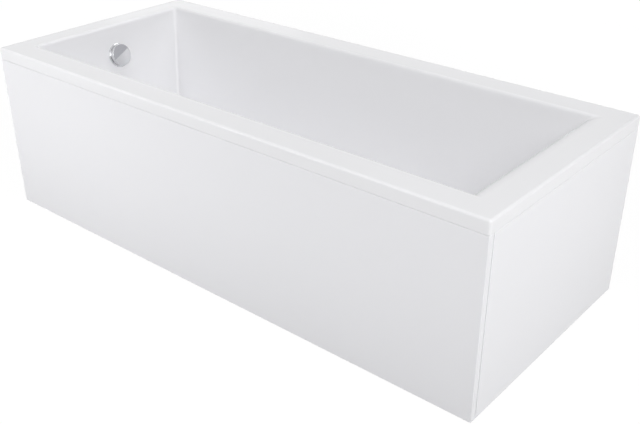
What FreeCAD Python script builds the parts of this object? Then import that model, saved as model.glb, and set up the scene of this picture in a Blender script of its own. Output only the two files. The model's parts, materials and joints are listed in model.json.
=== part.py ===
"""A straight white bath, 1650 x 700 x 500 mm, built in against a back wall and a left-hand wall.

The frame is in millimetres, +Z up, with its origin on the floor under the middle of the bath.
X runs along the bath, from the foot end with the overflow (-X) to the head end (+X), and Y from
the front panel (-Y) to the back wall (+Y).
"""
import FreeCAD, Part
import math
import os

import Sketcher
from FreeCAD import Placement, Rotation, Vector

SIZES = {
    # the bath as a whole
    "bath_length": 1650.0,
    "bath_width": 700.0,
    "bath_height": 500.0,
    # moulded shell
    "shell_wall": 5.0,
    "rim_drop": 32.5,
    "rim_edge_round": 5.5,
    "rim_corner_round": 6.0,
    "side_rim": 70.5,
    "end_rim": 61.5,
    "edge_roll": 12.0,
    "head_roll": 50.0,
    "side_slope": 17.5,
    "foot_slope": 16.5,
    "head_slope": 30.0,
    "floor_height": 145.0,
    "basin_corner": 10.0,
    "floor_corner": 45.0,
    "floor_fillet": 60.0,
    "head_fillet": 110.0,
    # reinforcement under the floor and the rim
    "board_length": 910.0,
    "board_width": 300.0,
    "board_thick": 15.0,
    "board_from_foot": 345.0,
    "batten_thick": 18.0,
    "batten_height": 55.0,
    # panels
    "panel_thick": 18.0,
    "panel_gap": 3.2,
    "panel_joint": 2.5,
    "panel_edge_round": 2.0,
    "floor_batten": 38.0,
    # leg frame
    "channel_width": 40.0,
    "channel_depth": 25.0,
    "channel_wall": 2.5,
    "channel_length": 520.0,
    "foot_leg_from_end": 445.0,
    "head_leg_from_end": 495.0,
    "foot_inset": 30.0,
    "rod_radius": 5.0,
    "rod_top_spare": 40.0,
    "rod_fit": 0.4,
    "nut_across": 17.0,
    "nut_height": 8.0,
    "pad_radius": 24.0,
    "pad_height": 9.0,
    "pad_boss_radius": 11.0,
    "pad_boss_height": 22.0,
    "wood_screw_radius": 2.5,
    "wood_screw_length": 14.0,
    "screw_head_radius": 5.0,
    "screw_head_height": 3.0,
    # angle brackets
    "bracket_wall": 3.0,
    "bracket_width": 40.0,
    "bracket_leg": 22.0,
    "wall_bracket_drop": 50.0,
    "wall_screw_radius": 3.0,
    # waste in the floor of the basin
    "waste_offset": 270.0,
    "recess_radius": 39.0,
    "recess_depth": 3.0,
    "drain_radius": 26.0,
    "flange_radius": 35.0,
    "flange_thick": 3.0,
    "flange_seal_thick": 1.5,
    "flange_bore": 20.3,
    "plug_seat_radius": 18.5,
    "flange_tail_radius": 23.0,
    "flange_tail_length": 26.0,
    "flange_tail_wall": 3.0,
    "spider_hub_radius": 6.0,
    "spider_bar": 3.0,
    "spider_depth": 4.0,
    "stem_radius": 3.0,
    "stem_fit": 0.05,
    "plug_radius": 19.8,
    "plug_cap": 4.0,
    "plug_skirt_radius": 16.5,
    "plug_skirt": 7.0,
    "plug_lip": 2.0,
    "plug_sunk": 1.0,
    "seated_gap": 0.3,
    "gasket_thick": 2.0,
    "tee_flange_radius": 40.0,
    "tee_flange_thick": 5.0,
    "tee_radius": 28.0,
    "tee_drop": 37.0,
    "tee_tail_radius": 24.0,
    "tee_tail": 10.0,
    "spigot_radius": 13.0,
    "spigot_wall": 2.5,
    "spigot_drop": 21.0,
    "spigot_reach": 62.0,
    # lift lever under the plug
    "lever_offset": 18.0,
    "lever_height": 11.0,
    "lever_shaft_radius": 2.5,
    "lever_tip_radius": 3.0,
    "lever_rest": 14.5,
    "crank_length": 14.0,
    "crank_thick": 4.0,
    "cable_side": 27.0,
    "cable_radius": 3.0,
    "cable_stop": 45.0,
    "lug_thick": 5.0,
    "wire_radius": 0.9,
    # trap and outlet
    "trap_radius": 21.0,
    "trap_wall": 3.0,
    "trap_nut_radius": 31.0,
    "trap_nut_height": 17.0,
    "trap_bend": 28.0,
    "trap_floor_gap": 8.0,
    "trap_riser": 3.0,
    "outlet_bend": 24.0,
    "outlet_radius": 20.0,
    "outlet_wall": 1.5,
    "outlet_step": 0.5,
    "push_fit": 0.1,
    "socket_radius": 23.5,
    "socket_length": 20.0,
    "outlet_nut_radius": 28.0,
    "outlet_nut_length": 22.0,
    "outlet_reach": 345.0,
    # overflow in the foot end wall
    "overflow_drop": 91.0,
    "overflow_hole": 27.0,
    "rosette_radius": 37.0,
    "rosette_thick": 3.0,
    "rosette_tail_radius": 23.0,
    "rosette_tail": 20.0,
    "knob_radius": 33.5,
    "knob_front": 17.0,
    "knob_back": 5.5,
    "knob_wall": 2.5,
    "spindle_radius": 3.0,
    "overflow_cup_radius": 30.0,
    "overflow_cup_depth": 42.0,
    "overflow_cup_wall": 3.0,
    "cup_spigot_end": 52.0,
    "pinion_radius": 4.5,
    "slide_side": 18.0,
    "slide_length": 18.0,
    "slide_thick": 4.0,
    "cable_start": 36.0,
    "grub_radius": 2.0,
    "hose_radius": 15.0,
    "hose_wall": 2.0,
    "hose_axis_depth": 27.0,
    "hose_bend": 60.0,
    "hose_sway": 150.0,
    "hose_lead": 45.0,
    "hose_nut_radius": 17.5,
    "hose_nut_length": 16.0,
    "cable_axis_depth": 38.0,
    "cable_bend": 32.0,
    "cable_sway": 300.0,
    "cable_lead": 30.0,
}

doc = FreeCAD.newDocument("bath")
sheet = doc.addObject("Spreadsheet::Sheet", "Sizes")
for row, (name, value) in enumerate(SIZES.items(), 1):
    sheet.set("A%d" % row, name)
    sheet.set("B%d" % row, str(value))
    sheet.setAlias("B%d" % row, name)
doc.recompute()


class Size(float):
    """A number that keeps the formula it was worked out by, so that a feature can be bound to it."""

    def __new__(cls, number, text=None):
        size = super().__new__(cls, number)
        size.text = text or "%.9g" % number
        return size

    def __add__(self, other):
        return Size(float(self) + float(other), "(%s + %s)" % (self.text, formula(other)))

    def __sub__(self, other):
        return Size(float(self) - float(other), "(%s - %s)" % (self.text, formula(other)))

    def __mul__(self, other):
        return Size(float(self) * float(other), "(%s * %s)" % (self.text, formula(other)))

    def __truediv__(self, other):
        return Size(float(self) / float(other), "(%s / %s)" % (self.text, formula(other)))

    def __radd__(self, other):
        return Size(other) + self

    def __rsub__(self, other):
        return Size(other) - self

    def __rmul__(self, other):
        return Size(other) * self

    def __neg__(self):
        return Size(0.0) - self


def formula(number):
    return number.text if isinstance(number, Size) else "%.9g" % number


def sine(angle):
    return Size(math.sin(math.radians(angle)), "sin(%s)" % formula(angle))


def cosine(angle):
    return Size(math.cos(math.radians(angle)), "cos(%s)" % formula(angle))


def tangent(angle):
    return Size(math.tan(math.radians(angle)), "tan(%s)" % formula(angle))


class Sizes:
    """The driving dimensions by name, each tied to its cell of the sheet."""


size = Sizes()
for name, value in SIZES.items():
    setattr(size, name, Size(value, "Sizes.%s" % name))

nodes = {}


# ---------------------------------------------------------------- how the pieces are drawn

def bind(feature, **bound):
    """Set number properties of a feature and tie each to its formula."""
    for prop, number in bound.items():
        setattr(feature, prop, float(number))
        feature.setExpression(prop, formula(number))
    return feature


def place(feature, x=0.0, y=0.0, z=0.0, axis=None, turn=0.0):
    """Stand a piece at a point, turned about an axis, with its place tied to the sizes."""
    rotation = Rotation(Vector(*axis), float(turn)) if axis else Rotation()
    feature.Placement = Placement(Vector(x, y, z), rotation)
    for letter, number in zip("xyz", (x, y, z)):
        if isinstance(number, Size):
            feature.setExpression("Placement.Base." + letter, formula(number))
    if isinstance(turn, Size):
        feature.setExpression("Placement.Rotation.Angle", formula(turn))
    return feature


def add(kind, label):
    feature = doc.addObject(kind, label)
    feature.Label = label
    return feature


def keep(feature, label):
    """Name a finished piece as a node of its own."""
    feature.Label = label
    nodes[label] = feature
    return feature


def block(label, corner, extent):
    box = bind(add("Part::Box", label), Length=extent[0], Width=extent[1], Height=extent[2])
    return place(box, *corner)


def rod(label, radius, length, foot, axis=None, turn=0.0):
    cylinder = bind(add("Part::Cylinder", label), Radius=radius, Height=length)
    return place(cylinder, *foot, axis=axis, turn=turn)


def fuse(label, *pieces):
    joined = add("Part::MultiFuse", label)
    joined.Shapes = list(pieces)
    return joined


def cut(label, base, *tools):
    result = add("Part::Cut", label)
    result.Base = base
    result.Tool = tools[0] if len(tools) == 1 else fuse(label + "_tools", *tools)
    return result


def group(label, pieces):
    """Like pieces that share one node, each still a solid of its own."""
    bundle = add("Part::Compound", label)
    bundle.Links = list(pieces)
    return bundle


def origin_plane(body, role):
    return next(item for item in body.Origin.OriginFeatures if item.Role == role)


def outline(body, plane, corners, name="Outline"):
    """A closed run of straight edges in a plane of the body, each corner tied to the sizes."""
    sketch = body.newObject("Sketcher::SketchObject", body.Name + name)
    sketch.AttachmentSupport = (origin_plane(body, plane), [""])
    sketch.MapMode = "FlatFace"
    ends = [Vector(float(u), float(v), 0) for u, v in corners]
    for start, end in zip(ends, ends[1:] + ends[:1]):
        sketch.addGeometry(Part.LineSegment(start, end))
    for edge, corner in enumerate(corners):
        sketch.addConstraint(Sketcher.Constraint("Coincident", edge, 2, (edge + 1) % len(corners), 1))
        for kind, number in zip(("DistanceX", "DistanceY"), corner):
            row = sketch.addConstraint(Sketcher.Constraint(kind, edge, 1, float(number)))
            if isinstance(number, Size):
                sketch.setExpression("Constraints[%d]" % row, formula(number))
    return sketch


def padded(label, plane, corners, length):
    """A body of one outline pushed out along the normal of its plane."""
    body = add("PartDesign::Body", label)
    pad = body.newObject("PartDesign::Pad", label + "_pad")
    pad.Profile = outline(body, plane, corners)
    bind(pad, Length=length)
    return body


def turned(label, corners):
    """A body of one outline, given as radius and height, turned about its own Z axis."""
    body = add("PartDesign::Body", label)
    revolution = body.newObject("PartDesign::Revolution", label + "_turn")
    revolution.Profile = outline(body, "XZ_Plane", corners)
    revolution.ReferenceAxis = (revolution.Profile[0], ["V_Axis"])
    revolution.Angle = 360
    return body


def rounded(body, radius, chosen, name="Round"):
    """Round the edges of a body that a test picks."""
    doc.recompute()
    base = body.Tip
    edges = ["Edge%d" % (i + 1) for i, edge in enumerate(base.Shape.Edges) if chosen(edge)]
    fillet = body.newObject("PartDesign::Fillet", body.Name + name)
    fillet.Base = (base, edges)
    bind(fillet, Radius=radius)
    body.Tip = fillet
    return body


def middle(edge):
    return edge.valueAt((edge.FirstParameter + edge.LastParameter) / 2)


def near(first, second):
    return abs(first - second) < 0.01


def solid(label, shape):
    feature = add("Part::Feature", label)
    feature.Shape = shape
    return feature


def sweep(points, bends, radius):
    """A round bar along straight runs joined by tangent arcs, one bend for each inner point."""
    edges, start = [], points[0]
    for before, corner, after, bend in zip(points, points[1:], points[2:], bends):
        back = (before - corner).normalize()
        ahead = (after - corner).normalize()
        half_turn = (math.pi - back.getAngle(ahead)) / 2
        reach = bend * math.tan(half_turn)
        centre_way = (back + ahead).normalize()
        middle_point = corner + centre_way * (bend / math.cos(half_turn) - bend)
        edges.append(Part.makeLine(start, corner + back * reach))
        edges.append(Part.Arc(corner + back * reach, middle_point, corner + ahead * reach).toShape())
        start = corner + ahead * reach
    edges.append(Part.makeLine(start, points[-1]))
    path = Part.Wire(edges)
    ring = Part.Wire([Part.makeCircle(radius, points[0], points[1] - points[0])])
    return path.makePipeShell([ring], True, True)


def tube(points, bends, radius, wall):
    return sweep(points, bends, radius).cut(sweep(points, bends, radius - wall))


# ---------------------------------------------------------------- levels and places

rim_under = size.bath_height - size.shell_wall
lip_bottom = size.bath_height - size.rim_drop
panel_top = lip_bottom - size.panel_gap
floor_top = size.floor_height
floor_under = floor_top - size.shell_wall
board_under = floor_under - size.board_thick
channel_under = board_under - size.channel_depth
half_length = size.bath_length / 2
half_width = size.bath_width / 2
behind_front = size.panel_thick - half_width
batten_under = rim_under - size.batten_height
leg_places = {"foot": size.foot_leg_from_end - half_length, "head": half_length - size.head_leg_from_end}
side_places = {"front": size.foot_inset - size.channel_length / 2,
               "back": size.channel_length / 2 - size.foot_inset}

# The waste and the levels of its pieces, from the floor of the basin down to the foot of the stem.
waste_x = size.waste_offset - half_length
recess_top = floor_top - size.recess_depth
flange_base = recess_top + size.flange_seal_thick
flange_top = flange_base + size.flange_thick
plug_base = flange_top - size.plug_sunk
tee_top = recess_top - size.shell_wall - size.gasket_thick
tee_bottom = tee_top - size.tee_drop
spigot_z = tee_top - size.spigot_drop
lever_x = waste_x - size.lever_offset
lever_z = tee_bottom + size.lever_height
crank_z = lever_z + size.crank_length
stem_foot = lever_z - size.lever_offset * sine(size.lever_rest) + size.lever_tip_radius + size.seated_gap


# ---------------------------------------------------------------- moulded shell

def wall_inset(level, roll, slope, fillet, top, bottom):
    """How far a basin wall stands in from the flat of the rim: roll, straight wall, floor fillet."""
    lean = math.radians(slope)
    wall_top = top - roll * (1 - math.sin(lean))
    wall_foot = bottom + fillet * (1 - math.sin(lean))

    def straight(height):
        return roll * math.cos(lean) + (wall_top - height) * math.tan(lean)

    if level >= wall_top:
        return math.sqrt(max(roll ** 2 - (roll - top + level) ** 2, 0.0))
    if level >= wall_foot:
        return straight(level)
    centre = straight(wall_foot) + fillet * math.cos(lean)
    return centre - math.sqrt(max(fillet ** 2 - (fillet - level + bottom) ** 2, 0.0))


def rounded_rectangle(left, right, half, corner, level):
    """Four straight edges and four quarter arcs, always in the same order."""
    edges = []
    centres = ((right - corner, half - corner, 0), (left + corner, half - corner, 90),
               (left + corner, corner - half, 180), (right - corner, corner - half, 270))
    arcs = []
    for x, y, start in centres:
        circle = Part.Circle(Vector(x, y, level), Vector(0, 0, 1), corner)
        arcs.append(Part.ArcOfCircle(circle, math.radians(start), math.radians(start + 90)))
    for arc, following in zip(arcs, arcs[1:] + arcs[:1]):
        edges.append(arc.toShape())
        edges.append(Part.makeLine(arc.EndPoint, following.StartPoint))
    return Part.Wire(edges)


def basin_skin(offset):
    """The basin as a solid: its inner face at offset 0, its outer face one shell wall further out."""
    top = size.bath_height - offset
    bottom = floor_top - offset
    walls = {
        "foot": (size.edge_roll - offset, size.foot_slope, size.floor_fillet + offset),
        "head": (size.head_roll - offset, size.head_slope, size.head_fillet + offset),
        "side": (size.edge_roll - offset, size.side_slope, size.floor_fillet + offset),
    }

    def roll_depth(wall):
        roll, slope, fillet = walls[wall]
        return roll * (1 - math.sin(math.radians(slope)))

    def foot_height(wall):
        roll, slope, fillet = walls[wall]
        return fillet * (1 - math.sin(math.radians(slope)))

    shallow = max(roll_depth("foot"), roll_depth("side"))
    deep = max(shallow * 1.2, roll_depth("head"))
    foot_zone = max(foot_height("foot"), foot_height("head"), foot_height("side"))

    def section(level):
        inset = {wall: wall_inset(level, *shape, top, bottom) for wall, shape in walls.items()}
        spread = 1 - min((level - bottom) / foot_zone, 1.0)
        corner = size.basin_corner + offset + (size.floor_corner - size.basin_corner) * spread ** 2
        return rounded_rectangle(size.end_rim + inset["foot"] - half_length,
                                 half_length - size.end_rim - inset["head"],
                                 half_width - size.side_rim - inset["side"], corner, level)

    zones = (
        [top - shallow * (step / 5) ** 2 for step in range(6)],
        [top - shallow - (deep - shallow) * step / 3 for step in range(4)],
        [top - deep, bottom + foot_zone],
        [bottom + foot_zone * (step / 6) ** 2 for step in range(6, -1, -1)],
    )
    skin = None
    for levels in zones:
        part = Part.makeLoft([section(level) for level in levels], True, len(levels) == 2)
        skin = part if skin is None else skin.fuse(part)
    return skin


def body_pocket(body, corners, depth):
    """Cut an outline upwards into a body from its own XY plane."""
    pocket = body.newObject("PartDesign::Pocket", body.Name + "_pocket")
    pocket.Profile = outline(body, "XY_Plane", corners, "Hollow")
    pocket.Reversed = True
    bind(pocket, Length=depth)
    body.Tip = pocket
    return body


def make_shell():
    """Acrylic sheet drawn over a mould: flat rim with a turned-down lip, basin, drain and overflow."""
    rim = padded("rim", "XY_Plane", [(-half_length, -half_width), (half_length, -half_width),
                                     (half_length, half_width), (-half_length, half_width)],
                 size.rim_drop)
    rounded(rim, size.rim_corner_round,
            lambda edge: near(edge.Vertexes[0].X, edge.Vertexes[-1].X)
            and near(edge.Vertexes[0].Y, edge.Vertexes[-1].Y), "Corners")
    rounded(rim, size.rim_edge_round, lambda edge: near(middle(edge).z, size.rim_drop), "Edge")
    inner_x = half_length - size.shell_wall
    inner_y = half_width - size.shell_wall
    hollow = body_pocket(rim, [(-inner_x, -inner_y), (inner_x, -inner_y),
                               (inner_x, inner_y), (-inner_x, inner_y)],
                         size.rim_drop - size.shell_wall)
    place(hollow, z=lip_bottom)
    drain_boss = rod("drain_boss", size.recess_radius + size.shell_wall, size.shell_wall,
                     (waste_x, 0, floor_under - size.recess_depth))
    outer = fuse("shell_outside", rim, solid("basin_outside", basin_skin(size.shell_wall)), drain_boss)
    recess = rod("drain_recess", size.recess_radius, 2 * size.recess_depth,
                 (waste_x, 0, floor_top - size.recess_depth))
    drain = rod("drain_hole", size.drain_radius, 6 * size.shell_wall,
                (waste_x, 0, floor_top - 4 * size.shell_wall))
    overflow = at_overflow(rod("overflow_opening", size.overflow_hole, 6 * size.shell_wall, (0, 0, 0)),
                           -3 * size.shell_wall)
    keep(cut("shell", outer, solid("basin_inside", basin_skin(0.0)), recess, drain, overflow),
         "bath_shell")


# The overflow stands square to the sloping foot end wall: its own Z axis points into the basin.
overflow_z = size.bath_height - size.overflow_drop
overflow_x = (size.end_rim - half_length + size.edge_roll * cosine(size.foot_slope)
              + (size.bath_height - size.edge_roll * (1 - sine(size.foot_slope)) - overflow_z)
              * tangent(size.foot_slope))
overflow_turn = 90 - size.foot_slope


def at_overflow(feature, depth=0.0):
    """Stand a piece on the axis of the overflow, a depth in from the face of the wall."""
    return place(feature, overflow_x + depth * cosine(size.foot_slope), 0,
                 overflow_z + depth * sine(size.foot_slope), (0, 1, 0), overflow_turn)


def overflow_point(along, side, depth):
    """A point at the overflow: down along the wall, to the side, and in from its face."""
    down = Vector(sine(size.foot_slope), 0, -cosine(size.foot_slope))
    inward = Vector(cosine(size.foot_slope), 0, sine(size.foot_slope))
    base = Vector(overflow_x, side, overflow_z)
    return base + down * float(along) + inward * float(depth)


# ---------------------------------------------------------------- board and battens

# Wood screws by the piece that they are driven up into: each a point on the underside of that piece.
panel_screws = {"rim_batten_front": [(size.bath_length * share, behind_front + size.batten_thick / 2)
                                     for share in (-0.36, 0.0, 0.36)],
                "rim_batten_head": [(half_length - size.panel_thick - size.batten_thick / 2,
                                     size.bath_width * share) for share in (-0.25, 0.25)]}
wall_screws = {"rim_batten_back": [(size.bath_length * share,
                                    half_width - size.shell_wall - size.batten_thick / 2)
                                   for share in (-0.3, 0.3)],
               "rim_batten_foot": [(size.shell_wall + size.batten_thick / 2 - half_length, 0.0)]}
board_screws = [(x, size.board_width * share) for x in leg_places.values()
                for share in (-0.4, -0.15, 0.15, 0.4)]


def piloted(label, corner, extent, screws, under):
    """A length of timber with a pilot hole for each screw, drilled up from its underside."""
    bar = block(label + "_sawn", corner, extent)
    holes = [rod("%s_pilot_%d" % (label, number), size.wood_screw_radius, size.wood_screw_length,
                 (x, y, under)) for number, (x, y) in enumerate(screws, 1)]
    return keep(cut(label + "_drilled", bar, *holes), label)


def make_reinforcement():
    """Chipboard bonded under the floor, and timber battens bonded under the four sides of the rim."""
    piloted("base_board", (size.board_from_foot - half_length, -size.board_width / 2, board_under),
            (size.board_length, size.board_width, size.board_thick), board_screws,
            board_under - size.channel_wall)
    thick, height, lip = size.batten_thick, size.batten_height, size.shell_wall
    head_x = half_length - size.panel_thick
    inner_left = lip - half_length
    back_y = half_width - lip - thick
    side_start = behind_front + thick
    battens = {
        "rim_batten_front": ((inner_left, behind_front), (head_x - inner_left, thick)),
        "rim_batten_back": ((inner_left, back_y), (head_x - inner_left, thick)),
        "rim_batten_foot": ((inner_left, side_start), (thick, back_y - side_start)),
        "rim_batten_head": ((head_x - thick, side_start), (thick, back_y - side_start)),
    }
    for label, ((x, y), (long, wide)) in battens.items():
        piloted(label, (x, y, batten_under), (long, wide, height),
                {**panel_screws, **wall_screws}[label], batten_under - size.bracket_wall)


# ---------------------------------------------------------------- panels

def make_panels():
    """Lacquered boards that stand on the floor, flush with the lip above a shadow gap."""
    front = padded("front", "XY_Plane",
                   [(-half_length, -half_width), (half_length, -half_width),
                    (half_length, size.panel_thick - half_width),
                    (-half_length, size.panel_thick - half_width)], panel_top)
    rounded(front, size.panel_edge_round,
            lambda edge: near(middle(edge).y, -half_width) or near(middle(edge).x, half_length)
            and middle(edge).z > 1)
    keep(front, "front_panel")
    start = size.panel_thick + size.panel_joint - half_width
    end = padded("end", "XY_Plane",
                 [(half_length - size.panel_thick, start), (half_length, start),
                  (half_length, half_width), (half_length - size.panel_thick, half_width)], panel_top)
    rounded(end, size.panel_edge_round, lambda edge: near(middle(edge).x, half_length))
    keep(end, "end_panel")
    batten = size.floor_batten
    keep(block("front_floor", (-half_length, behind_front, 0),
               (size.bath_length - size.panel_thick, batten, batten)), "floor_batten_front")
    keep(block("end_floor", (half_length - size.panel_thick - batten, behind_front + batten, 0),
               (batten, half_width - behind_front - batten, batten)), "floor_batten_head")


def make_brackets():
    """Steel angles: some hold the panels to the battens, and three screw the rim to the walls."""
    wall, width, leg = size.bracket_wall, size.bracket_width, size.bracket_leg
    shelf_z = batten_under - wall
    angles, screws = [], []
    for number, (x, y) in enumerate(panel_screws["rim_batten_front"], 1):
        upright = block("angle_up_%d" % number, (x - width / 2, behind_front, batten_under - leg),
                        (width, wall, leg))
        shelf = block("angle_out_%d" % number, (x - width / 2, behind_front, shelf_z), (width, leg, wall))
        angles.append(drilled_angle("front_angle_%d" % number, upright, shelf, x, y))
        screws.append(wood_screw("front_angle_screw_%d" % number, x, y, shelf_z))
    head_x = half_length - size.panel_thick
    for number, (x, y) in enumerate(panel_screws["rim_batten_head"], 1):
        upright = block("end_up_%d" % number, (head_x - wall, y - width / 2, batten_under - leg),
                        (wall, width, leg))
        shelf = block("end_out_%d" % number, (head_x - leg, y - width / 2, shelf_z), (leg, width, wall))
        angles.append(drilled_angle("end_angle_%d" % number, upright, shelf, x, y))
        screws.append(wood_screw("end_angle_screw_%d" % number, x, y, shelf_z))
    keep(group("angles", angles), "panel_angles")
    keep(group("angle_fixings", screws), "panel_angle_screws")

    brackets, fixings = [], []
    reach = size.shell_wall + size.batten_thick
    drop = size.wall_bracket_drop
    hole_z = batten_under - drop / 2 - wall
    for number, (x, y) in enumerate(wall_screws["rim_batten_back"], 1):
        shelf = block("back_shelf_%d" % number, (x - width / 2, half_width - reach, shelf_z),
                      (width, reach, wall))
        upright = block("back_up_%d" % number, (x - width / 2, half_width - wall, batten_under - drop),
                        (width, wall, drop))
        hole = rod("back_hole_%d" % number, size.wall_screw_radius, 3 * wall,
                   (x, half_width + wall, hole_z), (1, 0, 0), 90)
        brackets.append(drilled_angle("back_bracket_%d" % number, upright, shelf, x, y, hole))
        fixings.append(wood_screw("back_bracket_screw_%d" % number, x, y, shelf_z))
    (x, y), = wall_screws["rim_batten_foot"]
    shelf = block("foot_shelf", (-half_length, -width / 2, shelf_z), (reach, width, wall))
    upright = block("foot_up", (-half_length, -width / 2, batten_under - drop), (wall, width, drop))
    hole = rod("foot_hole", size.wall_screw_radius, 3 * wall, (-half_length - wall, 0, hole_z), (0, 1, 0), 90)
    brackets.append(drilled_angle("foot_bracket", upright, shelf, x, y, hole))
    fixings.append(wood_screw("foot_bracket_screw", x, y, shelf_z))
    keep(group("brackets", brackets), "wall_brackets")
    keep(group("bracket_fixings", fixings), "wall_bracket_screws")


def drilled_angle(label, upright, shelf, x, y, *holes):
    """Two legs of an angle, with a screw hole through the upper one."""
    shank = rod(label + "_shank_hole", size.wood_screw_radius, 3 * size.bracket_wall,
                (x, y, batten_under - 2 * size.bracket_wall))
    return cut(label, fuse(label + "_legs", upright, shelf), shank, *holes)


def wood_screw(label, x, y, level):
    """A pan-head screw driven upwards, its head against the face at the given level."""
    head = rod(label + "_head", size.screw_head_radius, size.screw_head_height,
               (x, y, level - size.screw_head_height))
    shank = rod(label + "_shank", size.wood_screw_radius, size.wood_screw_length, (x, y, level))
    return fuse(label, head, shank)


# ---------------------------------------------------------------- leg frame and feet

def make_legs():
    """Two pressed steel channels screwed up into the board, with a screw foot near each end."""
    wide, deep, wall = size.channel_width, size.channel_depth, size.channel_wall
    screws, weld_nuts, lock_nuts = [], [], []
    for end, x in leg_places.items():
        channel = padded("channel_" + end, "XZ_Plane",
                         [(-wide / 2, 0), (-wide / 2, deep), (wide / 2, deep), (wide / 2, 0),
                          (wide / 2 - wall, 0), (wide / 2 - wall, deep - wall),
                          (wall - wide / 2, deep - wall), (wall - wide / 2, 0)], size.channel_length)
        place(channel, x, size.channel_length / 2, channel_under)
        holes = [rod("rod_hole_%s_%s" % (end, side), size.rod_radius + size.rod_fit, 2 * deep,
                     (x, y, channel_under)) for side, y in side_places.items()]
        for number, (screw_x, y) in enumerate(board_screws, 1):
            if screw_x == x:
                screws.append(wood_screw("channel_screw_%d" % number, x, y, board_under - wall))
                holes.append(rod("screw_hole_%d" % number, size.wood_screw_radius, deep,
                                 (x, y, channel_under + wall)))
        keep(cut("drilled_channel_" + end, channel, *holes), "leg_channel_" + end)
        for side, y in side_places.items():
            where = "%s_%s" % (side, end)
            weld_nuts.append(nut("weld_nut_" + where, x, y, board_under))
            lock_nuts.append(nut("lock_nut_" + where, x, y, board_under - wall - size.nut_height))
            make_foot(where, x, y)
    keep(group("channel_fixings", screws), "channel_screws")
    keep(group("upper_nuts", weld_nuts), "weld_nuts")
    keep(group("lower_nuts", lock_nuts), "lock_nuts")


def nut(label, x, y, level):
    prism = add("Part::Prism", label + "_hexagon")
    prism.Polygon = 6
    bind(prism, Circumradius=size.nut_across / 2 / cosine(30), Height=size.nut_height)
    place(prism, x, y, level)
    thread = rod(label + "_thread", size.rod_radius + size.rod_fit, size.nut_height, (x, y, level))
    return cut(label, prism, thread)


def make_foot(where, x, y):
    """A threaded rod pressed into a round plastic foot."""
    top = board_under + size.nut_height + size.rod_top_spare
    seat = size.pad_height / 2
    bar = rod("bar_" + where, size.rod_radius, top - seat, (x, y, seat))
    keep(bar, "foot_rod_" + where)
    radius, boss = size.pad_radius, size.pad_boss_radius
    pad = turned("pad_" + where,
                 [(0.0, 0.0), (radius, 0.0), (radius, size.pad_height / 2),
                  (boss + 2, size.pad_height), (boss, size.pad_boss_height),
                  (size.rod_radius, size.pad_boss_height), (size.rod_radius, seat), (0.0, seat)])
    place(pad, x, y, 0.0)
    keep(pad, "foot_pad_" + where)


# ---------------------------------------------------------------- waste, plug and lift lever

def ring(label, inner, outer, base, thick):
    """A flat ring standing at the waste."""
    return place(turned(label, [(inner, 0.0), (outer, 0.0), (outer, thick), (inner, thick)]),
                 waste_x, 0, base)


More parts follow.
